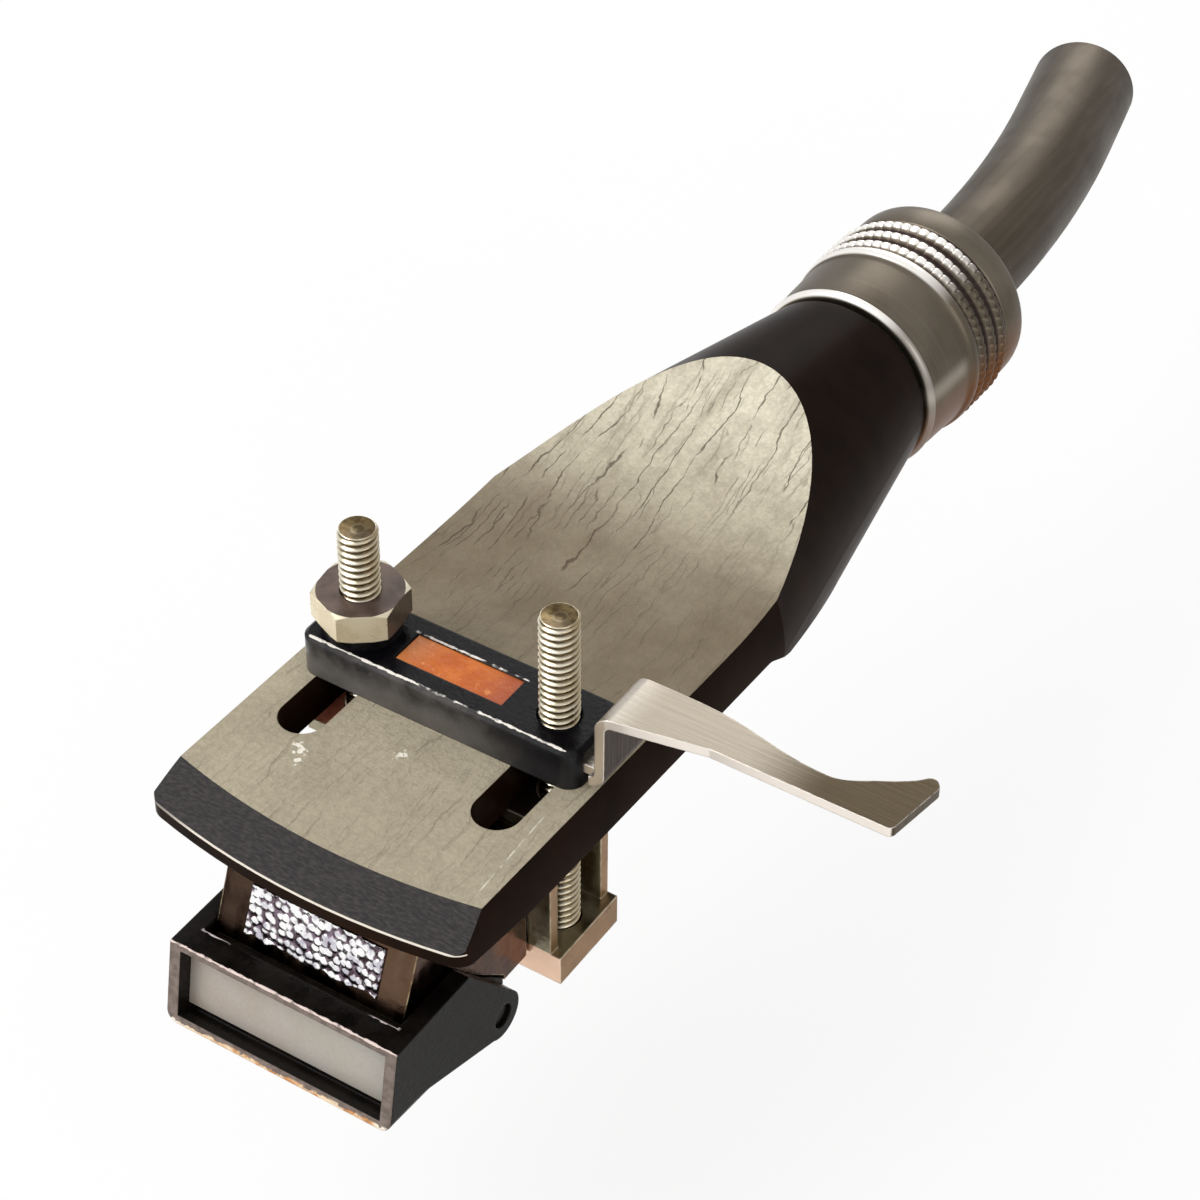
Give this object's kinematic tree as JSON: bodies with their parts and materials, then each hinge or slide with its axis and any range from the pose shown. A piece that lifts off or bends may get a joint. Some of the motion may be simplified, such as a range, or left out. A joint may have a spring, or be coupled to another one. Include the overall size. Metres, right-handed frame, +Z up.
{
  "type": "phono cartridge in a headshell",
  "caption": "Moving-magnet phono cartridge screwed under a slotted headshell with finger lift and stylus guard, locked to an arm tube end by a knurled collar.",
  "frame": {"origin": "the stylus point, at rest", "axes": "+Y along the headshell towards the arm, +X towards the finger lift, +Z up from the record"},
  "size_m": [0.0376, 0.0972, 0.028],
  "materials": {
    "headshell_black": "anodised black, with a bare worn grey top face",
    "satin_nickel": "satin nickel plate",
    "plated_steel": "zinc plated machine screw steel",
    "arm_steel": "satin stainless tube",
    "bar_black": "glossy moulded",
    "inlay_orange": "plain orange inlay",
    "lift_aluminium": "aged, scratched",
    "bracket_metal": "bright cast metal",
    "shell_metal": "polished brown shielding metal",
    "foil": "hammered bright foil",
    "guard_black": "glossy moulded",
    "panel_grey": "plain grey plate",
    "contact_gold": "gold plated",
    "insulator_white": "moulded nylon",
    "black_rubber": "soft",
    "wire_green": "insulated wire",
    "wire_red": "insulated wire",
    "wire_blue": "insulated wire",
    "wire_white": "insulated wire",
    "core_iron": "laminated core",
    "coil_copper": "enamelled winding",
    "diamond": "ground point"
  },
  "bodies": {
    "root": {"arm_tube": "arm_steel", "arm_socket": "satin_nickel", "socket_insulator": "insulator_white", "socket_contacts": "contact_gold", "headshell_body": "headshell_black", "bayonet_plug": "satin_nickel", "bayonet_pin": "plated_steel", "gasket": "black_rubber", "plug_insulator": "insulator_white", "plug_contacts": "contact_gold", "lead_green": "wire_green", "lead_red": "wire_red", "lead_blue": "wire_blue", "lead_white": "wire_white", "lead_clips": "contact_gold", "clamp_bar": "bar_black", "bar_inlay": "inlay_orange", "finger_lift": "lift_aluminium", "left_screw": "plated_steel", "right_screw": "plated_steel", "left_nut": "plated_steel", "left_washer": "bar_black", "mounting_bracket": "bracket_metal", "cartridge_shell": "shell_metal", "front_foil": "foil", "stylus_socket": "contact_gold", "left_core": "core_iron", "right_core": "core_iron", "left_coil": "coil_copper", "right_coil": "coil_copper", "terminal_block": "guard_black", "terminal_pins": "contact_gold"},
    "collar": {"locking_collar": "satin_nickel"},
    "stylus": {"stylus_tube": "lift_aluminium", "stylus_holder": "guard_black"},
    "guard": {"stylus_guard": "guard_black", "guard_panel": "panel_grey"},
    "suspension": {"damper": "black_rubber"},
    "cantilever": {"cantilever": "lift_aluminium", "magnet": "core_iron", "stylus_tip": "diamond"}
  },
  "joints": [
    {"name": "collar_turn", "type": "hinge", "parent": "root", "child": "collar", "pos_m": [0.001, 0.05499, 0.01524], "axis": [-0.022, -0.9998, 0], "range_deg": [0, 90]},
    {"name": "stylus_pull", "type": "slide", "parent": "root", "child": "stylus", "axis": [0, -0.9781, -0.2079], "range_m": [0, 0.011]},
    {"name": "guard_swing", "type": "hinge", "parent": "stylus", "child": "guard", "pos_m": [0, 0.00239, 0.00495], "axis": [1, 0, 0], "range_deg": [0, 40]},
    {"name": "cantilever_sway", "type": "hinge", "parent": "stylus", "child": "suspension", "pos_m": [0, 0.0068, 0.0032], "axis": [0, 0, 1], "range_deg": [-3, 3], "stiffness_Nm_per_rad": 0.002},
    {"name": "cantilever_rise", "type": "hinge", "parent": "suspension", "child": "cantilever", "pos_m": [0, 0.0068, 0.0032], "axis": [1, 0, 0], "range_deg": [-3, 3], "stiffness_Nm_per_rad": 0.002}
  ]
}
